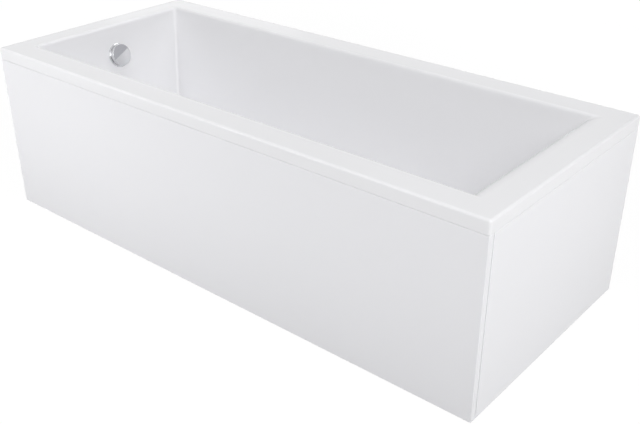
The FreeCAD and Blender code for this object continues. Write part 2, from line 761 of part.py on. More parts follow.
def make_waste():
    """Chromed flange through the drain, screwed into a plastic tee under the shell."""
    keep(ring("bedding", size.drain_radius + 1, size.flange_radius, recess_top,
              size.flange_seal_thick), "flange_seal")
    keep(ring("washer", size.drain_radius, size.tee_flange_radius, tee_top, size.gasket_thick),
         "waste_gasket")
    top, tail = size.flange_thick, size.flange_tail_radius
    low = size.flange_thick - size.flange_tail_length
    bore = tail - size.flange_tail_wall
    seat = plug_base - size.plug_skirt + size.plug_lip - size.seated_gap - flange_base
    collar = turned("collar", [(tail, low), (tail, 0.0), (size.flange_radius, 0.0),
                               (size.flange_radius, 0.8), (tail + 4, top), (size.flange_bore, top),
                               (size.flange_bore, seat), (size.plug_seat_radius, seat),
                               (size.plug_seat_radius, low)])
    place(collar, waste_x, 0, flange_base)
    bar, deep = size.spider_bar, size.spider_depth
    bars_z = flange_base + low
    bars = fuse("spider", block("spider_x", (waste_x - bore, -bar / 2, bars_z), (2 * bore, bar, deep)),
                block("spider_y", (waste_x - bar / 2, -bore, bars_z), (bar, 2 * bore, deep)),
                rod("spider_hub", size.spider_hub_radius, deep, (waste_x, 0, bars_z)))
    guide = rod("stem_guide", size.stem_radius + size.stem_fit, 2 * deep, (waste_x, 0, bars_z - deep / 2))
    keep(cut("flange", fuse("flange_solid", collar, bars), guide), "waste_flange")

    flange, body = size.tee_flange_radius, size.tee_radius
    drop, thick = tee_top - tee_bottom, size.tee_flange_thick
    mouth = size.flange_tail_radius + 0.2
    tee_turned = turned("tee_turned",
                        [(mouth, 0.0), (flange, 0.0), (flange, -thick), (body, -thick),
                         (body, -drop), (size.tee_tail_radius, -drop),
                         (size.tee_tail_radius, -drop - size.tee_tail),
                         (size.tee_tail_radius - 3, -drop - size.tee_tail),
                         (size.tee_tail_radius - 3, -drop), (mouth, 4 - drop)])
    place(tee_turned, waste_x, 0, tee_top)
    spigot = rod("tee_spigot", size.spigot_radius, size.spigot_reach - body / 2,
                 (waste_x - size.spigot_reach, 0, spigot_z), (0, 1, 0), 90)
    stop = block("cable_stop_lug", (waste_x - size.cable_stop, size.spigot_radius / 2, crank_z - 7),
                 (size.lug_thick, size.cable_side + 7 - size.spigot_radius / 2, 12.0))
    boss = rod("shaft_boss", size.lever_shaft_radius + 2.5, size.cable_side - size.crank_thick / 2 - 12.5,
               (lever_x, size.cable_side - size.crank_thick / 2 - 0.3, lever_z), (1, 0, 0), 90)
    inside = rod("tee_inside", mouth, drop - 4, (waste_x, 0, tee_bottom + 4))
    spigot_bore = rod("spigot_bore", size.spigot_radius - size.spigot_wall, size.spigot_reach,
                      (waste_x - size.spigot_reach - 1, 0, spigot_z), (0, 1, 0), 90)
    shaft_hole = rod("shaft_hole", size.lever_shaft_radius + 0.05, size.cable_side,
                     (lever_x, size.cable_side + 1, lever_z), (1, 0, 0), 90)
    stop_hole = rod("stop_hole", size.wire_radius, 3 * size.lug_thick,
                    (waste_x - size.cable_stop - size.lug_thick, size.cable_side, crank_z),
                    (0, 1, 0), 90)
    keep(cut("tee", fuse("tee_solid", tee_turned, spigot, stop, boss), inside, spigot_bore,
             shaft_hole, stop_hole), "waste_tee")


def make_plug():
    """Domed plug with a rubber seal, on a stem that the lift lever pushes up."""
    cap, skirt = size.plug_radius, size.plug_skirt_radius
    low = -size.plug_skirt
    lip, groove = low + size.plug_lip, skirt - 2.5
    plug = turned("plug_cap", [(0.0, low), (skirt, low), (skirt, lip), (groove, lip),
                               (groove, lip + 3), (skirt + 1, lip + 3), (cap, 0.0),
                               (cap, 1.5), (cap * 0.7, size.plug_cap - 0.8), (0.0, size.plug_cap)])
    socket = rod("stem_socket", size.stem_radius, size.plug_skirt, (0, 0, low))
    bored = cut("plug", plug, socket)
    place(bored, waste_x, 0, plug_base)
    keep(bored, "waste_plug")
    keep(place(turned("plug_ring", [(groove, 0.0), (skirt + 2.8, 0.0), (skirt + 3.4, 1.5),
                                    (skirt + 2.8, 3.0), (groove, 3.0)]),
               waste_x, 0, plug_base + lip), "plug_seal")
    keep(rod("stem", size.stem_radius, plug_base - stem_foot, (waste_x, 0, stem_foot)), "plug_stem")


def make_lever():
    """Shaft through the side of the tee: an arm inside lifts the stem, a crank outside is pulled."""
    shaft_end = size.cable_side + size.crank_thick / 2
    lean = size.lever_rest
    half = size.crank_thick / 2
    shaft = rod("lever_shaft", size.lever_shaft_radius, shaft_end + 2 * half,
                (lever_x, shaft_end, lever_z), (1, 0, 0), 90)
    arm = block("lever_arm", (0.0, 0.0, 0.0), (size.lever_offset, 2 * half, size.lever_tip_radius))
    place(arm, lever_x - size.lever_tip_radius / 2 * sine(lean), -half,
          lever_z - size.lever_tip_radius / 2 * cosine(lean), (0, 1, 0), lean)
    tip = rod("lever_tip", size.lever_tip_radius, 4 * half,
              (lever_x + size.lever_offset * cosine(lean), 2 * half,
               lever_z - size.lever_offset * sine(lean)), (1, 0, 0), 90)
    crank = block("lever_crank", (lever_x - size.lever_tip_radius, size.cable_side - half, lever_z),
                  (2 * size.lever_tip_radius, size.crank_thick, size.crank_length))
    eye = rod("lever_eye", size.lever_tip_radius, size.crank_thick,
              (lever_x, shaft_end, crank_z), (1, 0, 0), 90)
    foot = rod("lever_hub", size.lever_shaft_radius + 2, size.crank_thick,
               (lever_x, shaft_end, lever_z), (1, 0, 0), 90)
    keep(fuse("lever", shaft, arm, tip, crank, eye, foot), "lift_lever")


# ---------------------------------------------------------------- trap and outlet

def make_trap():
    """Shallow U-bend hung from the tee by a union nut, with a compression joint to the outlet pipe."""
    radius, wall = size.trap_radius, size.trap_wall
    tail_end = tee_bottom - size.tee_tail
    collar_top = tail_end - size.gasket_thick
    collar = size.tee_tail_radius - 0.5
    keep(ring("trap_ring", radius - wall, collar, collar_top, size.gasket_thick), "trap_washer")
    nut_top = tee_bottom - 0.5
    drop = size.trap_nut_height
    keep(place(turned("union", [(radius + 0.3, -drop), (size.trap_nut_radius - 2, -drop),
                                (size.trap_nut_radius, 2 - drop), (size.trap_nut_radius, -2.0),
                                (size.trap_nut_radius - 2, 0.0), (size.tee_tail_radius + 0.1, 0.0),
                                (size.tee_tail_radius + 0.1, 3 - drop), (radius + 0.3, 3 - drop)]),
               waste_x, 0, nut_top), "trap_nut")
    low = size.trap_floor_gap + radius
    far = 2 * size.trap_bend
    outlet_z = low + size.trap_bend + size.trap_riser + size.outlet_bend
    socket_start = far + size.outlet_bend
    inlet = Vector(waste_x, 0, collar_top)
    route = [inlet, Vector(waste_x, 0, low), Vector(waste_x, far, low),
             Vector(waste_x, far, outlet_z), Vector(waste_x, socket_start + 2 * wall, outlet_z)]
    bends = (size.trap_bend - 0.01, size.trap_bend - 0.01, size.outlet_bend - 0.01)
    pipe = sweep(route, bends, radius)
    bore = sweep(route, bends, radius - wall)
    along = Vector(0, 1, 0)
    entered = size.outlet_radius - size.outlet_step
    socket_foot = Vector(waste_x, socket_start + wall, outlet_z)
    socket = Part.makeCylinder(size.socket_radius, size.socket_length, socket_foot, along)
    mouth = Part.makeCylinder(entered + size.push_fit, size.socket_length, socket_foot + along * float(wall),
                              along)
    flare = Part.makeCylinder(collar, wall - 0.5, inlet - Vector(0, 0, wall - 0.5))
    shape = pipe.fuse([socket, flare]).cut([bore, mouth])
    keep(solid("u_bend", shape.removeSplitter()), "trap_body")

    reach = size.outlet_reach
    pipe_start = socket_start + 2 * wall + 0.2
    free_start = socket_start + wall + size.socket_length + size.outlet_nut_length / 2
    run = fuse("run", rod("free_run", size.outlet_radius, reach - free_start, (waste_x, reach, outlet_z),
                          (1, 0, 0), 90),
               rod("entered_run", entered, reach - pipe_start, (waste_x, reach, outlet_z), (1, 0, 0), 90))
    hollow = rod("run_bore", size.outlet_radius - size.outlet_step - size.outlet_wall, size.bath_width,
                 (waste_x, reach + 10, outlet_z), (1, 0, 0), 90)
    keep(cut("pipe", run, hollow), "outlet_pipe")
    nut_length, gripped = size.outlet_nut_length, entered + size.push_fit
    start = socket_start + wall + size.socket_length - nut_length / 2
    keep(place(turned("clamp", [(size.socket_radius + size.push_fit, 0.0), (size.outlet_nut_radius, 0.0),
                                (size.outlet_nut_radius, nut_length - 3),
                                (size.outlet_nut_radius - 3, nut_length),
                                (gripped, nut_length), (gripped, nut_length - 4),
                                (size.socket_radius + size.push_fit, nut_length - 6)]),
               waste_x, start, outlet_z, (1, 0, 0), -90), "outlet_nut")


# ---------------------------------------------------------------- overflow, knob and its drive

def make_overflow():
    """Plastic cup behind the wall, clamped by the chromed rosette that screws into it from the basin."""
    back = -size.shell_wall
    seat = back - size.gasket_thick
    flange = size.rosette_radius - 1
    cup, wall = size.overflow_cup_radius, size.overflow_cup_wall
    mouth = size.rosette_tail_radius + 0.2
    end = seat - size.overflow_cup_depth
    spindle, fit = size.spindle_radius, 0.05
    keep(at_overflow(turned("overflow_ring", [(mouth + 1, seat), (flange, seat),
                                              (flange, back), (mouth + 1, back)])), "overflow_gasket")
    shoulder = -size.rosette_tail - size.gasket_thick
    outside = turned("cup_outside", [(0.0, end), (cup, end), (cup, seat - 4), (flange, seat - 4),
                                     (flange, seat), (0.0, seat)])
    spigot = rod("cup_spigot", size.spigot_radius, size.cup_spigot_end - cup + 3 * wall,
                 (cup - 3 * wall, 0, -size.hose_axis_depth), (0, 1, 0), 90)
    boss = rod("cable_boss", size.cable_radius + 2, size.cable_start - cup / 3,
               (cup / 3, size.slide_side, -size.cable_axis_depth), (0, 1, 0), 90)
    room = turned("cup_inside", [(0.0, end + wall / 2), (spindle + fit, end + wall / 2),
                                 (spindle + fit, end + 2 * wall), (spindle + 3, end + 2 * wall),
                                 (spindle + 3, end + wall), (cup - wall, end + wall),
                                 (cup - wall, shoulder - wall), (mouth, shoulder), (mouth, seat),
                                 (0.0, seat)])
    bore = rod("cup_spigot_bore", size.spigot_radius - size.spigot_wall, 2 * cup,
               (cup - 4 * wall, 0, -size.hose_axis_depth), (0, 1, 0), 90)
    wire = rod("wire_way", size.wire_radius, cup, (0, size.slide_side, -size.cable_axis_depth),
               (0, 1, 0), 90)
    slide_under = -size.cable_axis_depth - size.slide_thick / 2 - 0.3
    rail = block("slide_rail", (-size.slide_length, size.slide_side - 4, end + wall / 2),
                 (2 * size.slide_length, 4.0, slide_under - end - wall / 2))
    body = fuse("cup", cut("cup_bored", fuse("cup_solid", outside, spigot, boss), room, bore, wire), rail)
    keep(at_overflow(body), "overflow_body")

    tail, bore_radius = size.rosette_tail_radius, size.rosette_tail_radius - wall
    thick, low = size.rosette_thick, -size.rosette_tail
    plate = turned("plate", [(bore_radius, low), (tail, low), (tail, 0.0), (size.rosette_radius, 0.0),
                             (size.rosette_radius, thick / 3), (size.rosette_radius - 2, thick),
                             (bore_radius, thick)])
    bar, deep = size.spider_bar, size.spider_depth
    inner = bore_radius + wall / 2
    bars = fuse("rosette_spider", block("rosette_bar_x", (-inner, -bar / 2, low), (2 * inner, bar, deep)),
                block("rosette_bar_y", (-bar / 2, -inner, low), (bar, 2 * inner, deep)),
                rod("rosette_hub", spindle + 3, deep, (0, 0, low)))
    guide = rod("spindle_guide", spindle + fit, 2 * deep, (0, 0, low - deep / 2))
    keep(at_overflow(cut("rosette", fuse("rosette_solid", plate, bars), guide)), "overflow_rosette")


def make_knob():
    """Chromed cap on a spindle; inside the cup a pinion moves a slide that pulls the cable."""
    radius, front, behind = size.knob_radius, size.knob_front, size.knob_back
    wall, spindle = size.knob_wall, size.spindle_radius
    hub = 2 * spindle
    end = -size.shell_wall - size.gasket_thick - size.overflow_cup_depth
    cap = turned("cap", [(0.0, front), (radius - 1, front), (radius, front - 1), (radius, behind),
                         (radius - wall, behind), (radius - wall, front - wall), (hub, front - wall),
                         (hub, behind), (spindle, behind), (spindle, front - 2 * wall),
                         (0.0, front - 2 * wall)])
    level = (behind + front - wall) / 2
    access = rod("grub_way", size.grub_radius, radius, (spindle, 0, level), (0, 1, 0), 90)
    keep(at_overflow(cut("drilled_cap", cap, access)), "overflow_knob")
    grub = rod("grub", size.grub_radius, hub - spindle, (spindle, 0, level), (0, 1, 0), 90)
    holder = group("grub_holder", [grub])
    keep(at_overflow(holder), "knob_grub_screw")
    foot = end + size.overflow_cup_wall / 2 + 0.3
    keep(at_overflow(rod("axle", spindle, front - 2 * wall - foot, (0, 0, 0)), foot), "knob_spindle")
    depth = -size.cable_axis_depth
    keep(at_overflow(turned("pinion_wheel", [(spindle, depth - 3), (size.pinion_radius, depth - 3),
                                             (size.pinion_radius, depth + 3), (spindle, depth + 3)])),
         "knob_pinion")
    edge = size.pinion_radius + 0.3
    slide = block("slide_plate", (-size.slide_length * 0.45, edge, depth - size.slide_thick / 2),
                  (size.slide_length, size.slide_side + 3 - edge, size.slide_thick))
    keep(at_overflow(group("slide", [slide])), "cable_slide")


def make_hose_and_cable():
    """Ribbed overflow hose and control cable, side by side down the outside of the foot end."""
    grip = size.hose_nut_length - 1
    depth = -size.hose_axis_depth
    start = size.cup_spigot_end - grip
    end_x = waste_x - size.spigot_reach + grip
    fall = overflow_point(start + size.hose_lead, 0, depth)
    route = [overflow_point(start, 0, depth), fall, Vector(fall.x, 0, spigot_z), Vector(end_x, 0, spigot_z)]
    bends = (size.hose_sway, size.hose_bend)
    keep(solid("hose", tube(route, bends, size.hose_radius, size.hose_wall)), "overflow_hose")
    sleeve = [(size.hose_radius, 0.0), (size.hose_nut_radius, 0.0),
              (size.hose_nut_radius, size.hose_nut_length), (size.hose_radius, size.hose_nut_length)]
    upper = turned("upper_sleeve", sleeve)
    top = overflow_point(start, 0, depth)
    upper.Placement = Placement(top, Rotation(Vector(0, 0, 1), route[1] - route[0]))
    keep(upper, "hose_nut_upper")
    lower = turned("lower_sleeve", sleeve)
    place(lower, end_x - size.hose_nut_length, 0, spigot_z, (0, 1, 0), 90)
    keep(lower, "hose_nut_lower")

    depth = -size.cable_axis_depth
    meet = (overflow_z + depth * sine(size.foot_slope) - crank_z) / cosine(size.foot_slope)
    route = [overflow_point(size.cable_start, size.slide_side, depth),
             overflow_point(size.cable_start + size.cable_lead, size.slide_side, depth),
             overflow_point(size.cable_start + meet / 3, size.cable_side, depth),
             overflow_point(meet, size.cable_side, depth),
             Vector(waste_x - size.cable_stop, size.cable_side, crank_z)]
    bends = (size.cable_sway, size.cable_sway, size.cable_bend)
    keep(solid("sheath", sweep(route, bends, size.cable_radius)), "control_cable")


def build():
    make_shell()
    make_reinforcement()
    make_panels()
    make_brackets()
    make_legs()
    make_waste()
    make_plug()
    make_lever()
    make_trap()
    make_overflow()
    make_knob()
    make_hose_and_cable()


build()
doc.recompute()
for item in doc.Objects:
    if "Invalid" in item.State or "Error" in item.State:
        raise RuntimeError("%s did not compute" % item.Label)
os.makedirs("parts", exist_ok=True)
for label, feature in nodes.items():
    if feature.Shape.isNull() or not feature.Shape.isValid():
        raise RuntimeError("%s has no valid shape" % label)
    feature.Shape.exportStep("parts/%s.step" % label)
    print(label, len(feature.Shape.Solids), round(feature.Shape.Volume))
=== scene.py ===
import json
import math

import bmesh
import bpy
from mathutils import Matrix, Vector


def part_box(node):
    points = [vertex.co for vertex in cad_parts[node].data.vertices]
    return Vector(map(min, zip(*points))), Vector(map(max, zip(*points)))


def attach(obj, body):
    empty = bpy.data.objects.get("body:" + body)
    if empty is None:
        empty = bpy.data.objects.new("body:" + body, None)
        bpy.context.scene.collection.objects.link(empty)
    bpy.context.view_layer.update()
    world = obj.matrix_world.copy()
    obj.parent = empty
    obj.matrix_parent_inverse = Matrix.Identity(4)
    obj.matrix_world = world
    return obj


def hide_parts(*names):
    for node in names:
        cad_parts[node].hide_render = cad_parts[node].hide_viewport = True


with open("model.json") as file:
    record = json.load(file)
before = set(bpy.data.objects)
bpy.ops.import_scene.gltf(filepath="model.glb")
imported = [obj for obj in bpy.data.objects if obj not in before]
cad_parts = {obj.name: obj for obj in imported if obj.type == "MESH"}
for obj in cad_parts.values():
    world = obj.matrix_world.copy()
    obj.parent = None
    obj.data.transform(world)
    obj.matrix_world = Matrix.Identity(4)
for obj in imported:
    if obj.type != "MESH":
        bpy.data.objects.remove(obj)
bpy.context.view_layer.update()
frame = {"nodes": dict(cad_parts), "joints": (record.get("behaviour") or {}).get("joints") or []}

scene = bpy.context.scene


# ---------------------------------------------------------------- moulded shell
# The bath itself is one sheet of white acrylic, drawn hot over a mould: a flat rim with a lip
# turned down round it, small rolls into the front, back and foot walls, and a large roll into the
# backrest at the head. It is 5 mm thick, glossy, with the faint ripple that moulded sheet has.

shell_low, shell_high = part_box("bath_shell")
half_length, half_width, rim_z = shell_high
sheet_wall, dish_depth = 0.005, 0.003
floor_z = shell_low.z + sheet_wall + dish_depth
side_rim, end_rim = 0.0705, 0.0615
lip_height, rim_round, rim_corner, sharp_corner = 0.0336, 0.0055, 0.006, 0.0004
basin_corner, floor_corner = 0.010, 0.045
small_roll, head_roll = 0.012, 0.050
foot_slope, side_slope, head_slope = (math.radians(a) for a in (16.5, 17.5, 30.0))
walls = {"foot": (small_roll, foot_slope, 0.060), "head": (head_roll, head_slope, 0.110),
         "side": (small_roll, side_slope, 0.060)}
drain_low, drain_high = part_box("waste_flange")
drain = Vector(((drain_low.x + drain_high.x) / 2, 0, floor_z))
dish_radius, drain_radius = 0.039, 0.026
overflow_hole = 0.027


def wall_inset(level, roll, slope, fillet):
    """How far in from the flat of the rim a wall stands at a level."""
    wall_top = rim_z - roll * (1 - math.sin(slope))
    wall_foot = floor_z + fillet * (1 - math.sin(slope))
    if level >= wall_top:
        return math.sqrt(max(roll ** 2 - (roll - rim_z + level) ** 2, 0.0))
    if level >= wall_foot:
        return roll * math.cos(slope) + (wall_top - level) * math.tan(slope)
    foot = roll * math.cos(slope) + (wall_top - wall_foot) * math.tan(slope) + fillet * math.cos(slope)
    return foot - math.sqrt(max(fillet ** 2 - (fillet - level + floor_z) ** 2, 0.0))


def rectangle_ring(left, right, half, corner, level, arc_steps=6, support=0.004):
    """Points round a rectangle with round corners, each arc with a close point beside both ends."""
    points = []
    centres = ((right - corner, half - corner, 0), (left + corner, half - corner, 90),
               (left + corner, corner - half, 180), (right - corner, corner - half, 270))
    for x, y, start in centres:
        turns = [math.radians(start + 90 * step / arc_steps) for step in range(arc_steps + 1)]
        arc = [Vector((x + corner * math.cos(turn), y + corner * math.sin(turn), level))
               for turn in turns]
        before = Vector((-math.sin(turns[0]), math.cos(turns[0]), 0)) * support
        after = Vector((-math.sin(turns[-1]), math.cos(turns[-1]), 0)) * support
        points += [arc[0] - before, *arc, arc[-1] + after]
    return points


def basin_ring(level, widen=0.0):
    """The basin's outline at a level, a little wider where it lies on the rim."""
    inset = {wall: wall_inset(level, *shape) - widen for wall, shape in walls.items()}
    curved = walls["head"][2] * (1 - math.sin(head_slope))
    spread = 1 - min((level - floor_z) / curved, 1.0)
    corner = basin_corner + (floor_corner - basin_corner) * spread ** 2
    return rectangle_ring(end_rim + inset["foot"] - half_length, half_length - end_rim - inset["head"],
                          half_width - side_rim - inset["side"], corner, level)


def rim_ring(inset, level):
    """The rim's outline at a distance in from its edge."""
    return rectangle_ring(inset - half_length, half_length - inset, half_width - inset,
                          max(rim_corner - inset, sharp_corner), level)


def circle_points(centre, radius, level, count=64):
    """Points round a level circle."""
    return [Vector((centre.x + radius * math.cos(math.tau * step / count),
                    centre.y + radius * math.sin(math.tau * step / count), level))
            for step in range(count)]


def start_loop(bm, points):
    """A closed loop of edges to grow a skin from."""
    loop = [bm.verts.new(point) for point in points]
    for first, second in zip(loop, loop[1:] + loop[:1]):
        bm.edges.new((first, second))
    return loop


def loop_edges(bm, loop):
    """The edges between the points of a closed loop."""
    return [bm.edges.get((first, second)) for first, second in zip(loop, loop[1:] + loop[:1])]


def grow(bm, loop, points):
    """Extrude a loop and set the new one on the points of the next ring."""
    made = bmesh.ops.extrude_edge_only(bm, edges=loop_edges(bm, loop))["geom"]
    fresh = {item for item in made if isinstance(item, bmesh.types.BMVert)}
    following = [next(edge.other_vert(vert) for edge in vert.link_edges
                      if edge.other_vert(vert) in fresh) for vert in loop]
    for vert, point in zip(following, points):
        vert.co = point
    return following


def smooth_by_angle(bm, degrees=35):
    """Shade smooth, and keep the edges that are sharper than the angle crisp."""
    for face in bm.faces:
        face.smooth = True
    for edge in bm.edges:
        edge.smooth = len(edge.link_faces) == 2 and edge.calc_face_angle(0.0) < math.radians(degrees)


def finished(bm, name, material, body, slot, *replaced):
    """Turn a bmesh into a piece that rides on a body and stands for CAD nodes."""
    mesh = bpy.data.meshes.new(name)
    bm.to_mesh(mesh)
    bm.free()
    piece = bpy.data.objects.new(name, mesh)
    scene.collection.objects.link(piece)
    mesh.materials.append(material)
    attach(piece, body)
    if replaced:
        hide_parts(*replaced)
    return piece


def new_material(name, base, roughness, metallic=0.0):
    """A Principled material with its plain values set, and its nodes to build on."""
    material = bpy.data.materials.new(name)
    material.use_nodes = True
    shader = material.node_tree.nodes["Principled BSDF"]
    shader.inputs["Base Color"].default_value = (*base, 1)
    shader.inputs["Roughness"].default_value = roughness
    shader.inputs["Metallic"].default_value = metallic
    return material, material.node_tree.nodes, material.node_tree.links, shader


def noise(nodes, links, scale, detail=3.0, stretch=(1, 1, 1)):
    """Noise on Object coordinates, stretched along an axis where the stuff has a grain."""
    where = nodes.new("ShaderNodeTexCoord")
    mapping = nodes.new("ShaderNodeMapping")
    mapping.inputs["Scale"].default_value = stretch
    texture = nodes.new("ShaderNodeTexNoise")
    texture.inputs["Scale"].default_value = scale
    texture.inputs["Detail"].default_value = detail
    links.new(where.outputs["Object"], mapping.inputs["Vector"])
    links.new(mapping.outputs["Vector"], texture.inputs["Vector"])
    return texture.outputs["Fac"]


def vary(nodes, links, fac, socket, low, high):
    """Drive a socket between two values or colours by a texture."""
    if isinstance(low, tuple):
        ramp = nodes.new("ShaderNodeMix")
        ramp.data_type = "RGBA"
        ramp.inputs["A"].default_value = (*low, 1)
        ramp.inputs["B"].default_value = (*high, 1)
        links.new(fac, ramp.inputs["Factor"])
        links.new(ramp.outputs["Result"], socket)
    else:
        ramp = nodes.new("ShaderNodeMapRange")
        ramp.inputs["To Min"].default_value = low
        ramp.inputs["To Max"].default_value = high
        links.new(fac, ramp.inputs["Value"])
        links.new(ramp.outputs["Result"], socket)


def bump(nodes, links, fac, shader, distance):
    """Raise and sink a surface by a texture."""
    relief = nodes.new("ShaderNodeBump")
    relief.inputs["Distance"].default_value = distance
    relief.inputs["Strength"].default_value = 1.0
    links.new(fac, relief.inputs["Height"])
    links.new(relief.outputs["Normal"], shader.inputs["Normal"])


acrylic, nodes, links, shader = new_material("white_acrylic", (0.89, 0.89, 0.908), 0.2)
vary(nodes, links, noise(nodes, links, 3.0), shader.inputs["Roughness"], 0.17, 0.23)
vary(nodes, links, noise(nodes, links, 1.5), shader.inputs["Base Color"],
     (0.882, 0.882, 0.900), (0.898, 0.898, 0.916))
bump(nodes, links, noise(nodes, links, 9.0, 2.0), shader, 0.0004)

backing, nodes, links, shader = new_material("sprayed_resin_backing", (0.70, 0.71, 0.69), 0.6)
vary(nodes, links, noise(nodes, links, 6.0, 6.0), shader.inputs["Base Color"],
     (0.62, 0.63, 0.60), (0.80, 0.81, 0.79))
vary(nodes, links, noise(nodes, links, 90.0, 5.0), shader.inputs["Roughness"], 0.45, 0.8)
bump(nodes, links, noise(nodes, links, 110.0, 8.0), shader, 0.0025)

shallow = small_roll * (1 - math.sin(foot_slope))
deep = head_roll * (1 - math.sin(head_slope))
curved_floor = walls["head"][2] * (1 - math.sin(head_slope))
roll_steps, wall_steps, floor_steps, edge_steps, close = 8, 6, 12, 6, 0.004
levels = [rim_z - shallow * (step / roll_steps) ** 2 for step in range(roll_steps + 1)]
levels += [rim_z - shallow - (deep - shallow) * step / wall_steps for step in range(1, wall_steps + 1)]
levels += [rim_z - deep - close, floor_z + curved_floor + close]
levels += [floor_z + curved_floor * (step / floor_steps) ** 2 for step in range(floor_steps, -1, -1)]

skin = bmesh.new()
beside = 0.002
loop = start_loop(skin, rim_ring(0.0, rim_z - lip_height))
loop = grow(skin, loop, rim_ring(0.0, rim_z - lip_height + beside))
loop = grow(skin, loop, rim_ring(0.0, rim_z - rim_round - beside))
for step in range(edge_steps + 1):
    turn = math.radians(90) * step / edge_steps
    loop = grow(skin, loop, rim_ring(rim_round * (1 - math.cos(turn)),
                                     rim_z - rim_round * (1 - math.sin(turn))))
loop = grow(skin, loop, rim_ring(rim_round + beside, rim_z))
loop = grow(skin, loop, basin_ring(rim_z, beside))
for level in levels:
    loop = grow(skin, loop, basin_ring(level))
floor_edges = loop_edges(skin, loop)
dish = start_loop(skin, circle_points(drain, drain_radius, floor_z - dish_depth))
for wider, depth in ((-0.002, 1.0), (-0.0005, 0.85), (0.001, 0.5), (0.0025, 0.15), (0.004, 0.0)):
    dish = grow(skin, dish, circle_points(drain, dish_radius + wider, floor_z - dish_depth * depth))
bmesh.ops.triangle_fill(skin, use_beauty=True, edges=floor_edges + loop_edges(skin, dish),
                        normal=(0, 0, 1))
bmesh.ops.recalc_face_normals(skin, faces=skin.faces)
by_the_drain = min(skin.faces, key=lambda face: (face.calc_center_median() - drain).length)
if by_the_drain.normal.z < 0:
    bmesh.ops.reverse_faces(skin, faces=skin.faces)

knob_joint = next(joint for joint in frame["joints"] if joint["name"] == "knob_turn")
overflow = Vector(knob_joint["pos_m"])
inward = Vector(knob_joint["axis"])
overflow_frame = Matrix.Translation(overflow) @ inward.to_track_quat("Z", "Y").to_matrix().to_4x4()
square_on = 0.999
foot_wall = min((face for face in skin.faces if face.normal.dot(inward) > square_on),
                key=lambda face: (face.calc_center_median() - overflow).length)
outline = list(foot_wall.edges)
bmesh.ops.delete(skin, geom=[foot_wall], context="FACES_ONLY")
opening = start_loop(skin, [overflow_frame @ point
                            for point in circle_points(Vector(), overflow_hole, 0.0)])
filled = bmesh.ops.triangle_fill(skin, use_beauty=True, edges=outline + loop_edges(skin, opening),
                                 normal=inward)["geom"]
for face in filled:
    if isinstance(face, bmesh.types.BMFace) and face.normal.dot(inward) < 0:
        face.normal_flip()
smooth_by_angle(skin)
shell = finished(skin, "shell_sheet", acrylic, "bath", "acrylic", "bath_shell")
shell.data.materials.append(backing)
thickness = shell.modifiers.new("sheet_thickness", "SOLIDIFY")
thickness.thickness = sheet_wall
thickness.offset = -1
thickness.use_even_offset = True
thickness.material_offset = 1


# ---------------------------------------------------------------- board and battens
# A chipboard is bonded under the floor of the basin, and four sawn battens under the rim. The
# fibres of each batten run along it, so the ones along the bath and across it differ.


def dress(material, *names):
    """Give pieces that keep the shape they have a finish."""
    for name in names:
        frame["nodes"][name].material_slots[0].material = material


def sharpened(nodes, links, fac, low, high):
    """Spread the middle of a texture's range over the whole of it."""
    spread = nodes.new("ShaderNodeMapRange")
    spread.inputs["From Min"].default_value = low
    spread.inputs["From Max"].default_value = high
    links.new(fac, spread.inputs["Value"])
    return spread.outputs["Result"]


def sawn_timber(name, stretch):
    """Softwood, its growth rings and fibres drawn out along the length."""
    timber, nodes, links, shader = new_material(name, (0.66, 0.47, 0.27), 0.7)
    rings = sharpened(nodes, links, noise(nodes, links, 70.0, 2.0, stretch), 0.35, 0.65)
    fibres = noise(nodes, links, 520.0, 4.0, stretch)
    grain = nodes.new("ShaderNodeMix")
    grain.inputs["Factor"].default_value = 0.45
    links.new(rings, grain.inputs["A"])
    links.new(fibres, grain.inputs["B"])
    vary(nodes, links, grain.outputs["Result"], shader.inputs["Base Color"],
         (0.50, 0.31, 0.15), (0.80, 0.62, 0.40))
    vary(nodes, links, fibres, shader.inputs["Roughness"], 0.6, 0.85)
    bump(nodes, links, fibres, shader, 0.0006)
    return timber


long_timber = sawn_timber("timber_along_the_bath", (0.05, 1, 1))
cross_timber = sawn_timber("timber_across_the_bath", (1, 0.05, 1))
dress(long_timber, "rim_batten_front", "rim_batten_back")
dress(cross_timber, "rim_batten_foot", "rim_batten_head")

chipboard, nodes, links, shader = new_material("raw_chipboard", (0.60, 0.46, 0.29), 0.85)
where = nodes.new("ShaderNodeTexCoord")
flakes = nodes.new("ShaderNodeTexVoronoi")
flakes.inputs["Scale"].default_value = 190.0
links.new(where.outputs["Object"], flakes.inputs["Vector"])
vary(nodes, links, flakes.outputs["Color"], shader.inputs["Base Color"],
     (0.38, 0.26, 0.14), (0.76, 0.60, 0.40))
bump(nodes, links, flakes.outputs["Distance"], shader, 0.0008)
dress(chipboard, "base_board")


# ---------------------------------------------------------------- panels
# Two 18 mm boards with a white gloss lacquer stand on the floor under the lip: a long one that
# shows its end at the corner, and one across the head end. Their arrises are eased by 2 mm, and
# behind the foot of each lies a batten on the floor.

lacquer, nodes, links, shader = new_material("white_lacquer", (0.885, 0.885, 0.91), 0.22)
vary(nodes, links, noise(nodes, links, 2.0), shader.inputs["Roughness"], 0.20, 0.27)
vary(nodes, links, noise(nodes, links, 1.2), shader.inputs["Base Color"],
     (0.880, 0.880, 0.905), (0.892, 0.892, 0.916))
bump(nodes, links, noise(nodes, links, 160.0, 2.0), shader, 0.00002)
arris, shadow_gap, on_the_edge = 0.002, 0.001, 0.001


